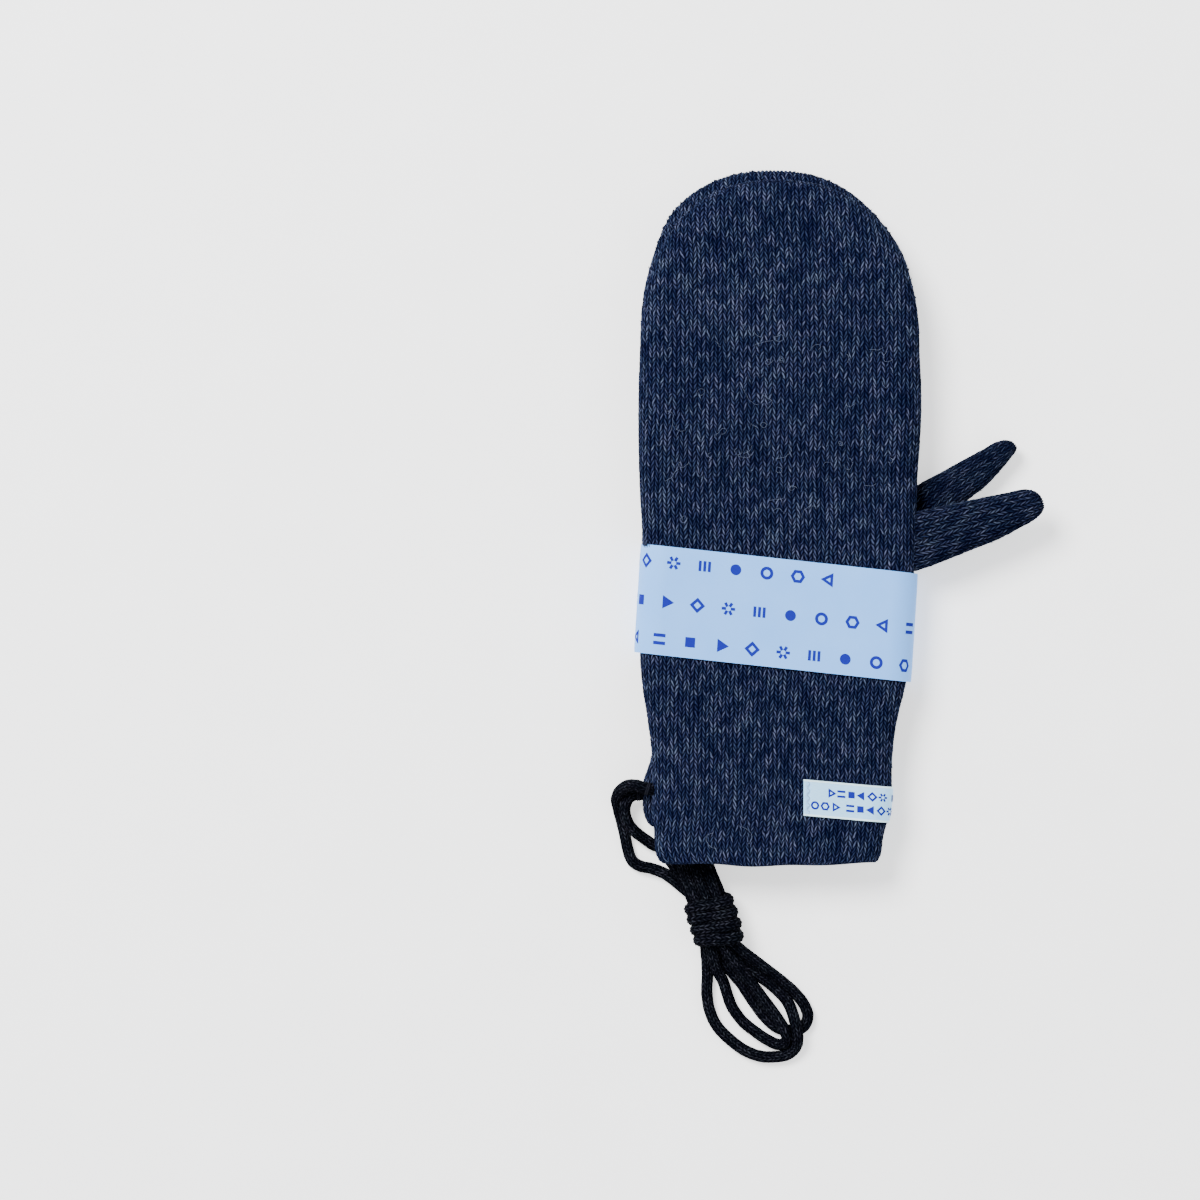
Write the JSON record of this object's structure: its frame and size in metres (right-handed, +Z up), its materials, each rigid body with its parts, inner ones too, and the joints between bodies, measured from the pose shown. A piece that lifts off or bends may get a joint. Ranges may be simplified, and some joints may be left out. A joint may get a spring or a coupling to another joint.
{
  "type": "pair of knitted ski mittens",
  "caption": "Charcoal knitted ski mittens laid palm to palm in a paper band, with a sewn label and a black neck cord tied in a knotted hank.",
  "frame": {"origin": "middle of the palm, on the flat underside of the lower mitten that the pair lies on", "axes": "+X towards the thumbs, +Y towards the fingertips, +Z up through the lower and then the upper mitten"},
  "size_m": [0.167, 0.3457, 0.0283],
  "materials": {
    "knit": "charcoal and navy melange wool jersey",
    "lining": "thin brushed jersey",
    "thread": "plied sewing yarn",
    "paper": "smooth uncoated paper, printed blue",
    "satin": "woven satin ribbon",
    "label_thread": "fine sewing thread",
    "cord": "knitted tubular cord"
  },
  "bodies": {
    "mittens": {"upper_hand_shell": "knit", "lower_hand_shell": "knit", "upper_hand_lining": "lining", "lower_hand_lining": "lining", "upper_tip_seam": "thread", "lower_tip_seam": "thread", "woven_label": "satin", "label_stitch_front": "label_thread", "label_stitch_back": "label_thread", "cord_tack_upper": "thread", "cord_tack_lower": "thread", "cord_run_upper": "cord", "cord_run_lower": "cord", "cord_hank_neck": "cord", "cord_hank_knot": "cord", "cord_hank_loops": "cord"},
    "band": {"paper_band": "paper"},
    "upper_thumb": {"upper_thumb_shell": "knit", "upper_thumb_lining": "lining", "upper_thumb_seam": "thread"},
    "lower_thumb": {"lower_thumb_shell": "knit", "lower_thumb_lining": "lining", "lower_thumb_seam": "thread"}
  },
  "joints": [
    {"name": "band_slide", "type": "slide", "parent": "mittens", "child": "band", "axis": [-0.0628, -0.998, 0], "range_m": [0, 0.041]},
    {"name": "upper_thumb_swing", "type": "hinge", "parent": "mittens", "child": "upper_thumb", "pos_m": [0.0543, -0.0537, 0.0191], "axis": [0, 0, 1], "range_deg": [0, 35]},
    {"name": "lower_thumb_swing", "type": "hinge", "parent": "mittens", "child": "lower_thumb", "pos_m": [0.0543, -0.0447, 0.0068], "axis": [0, 0, 1], "range_deg": [-17, 18]}
  ]
}
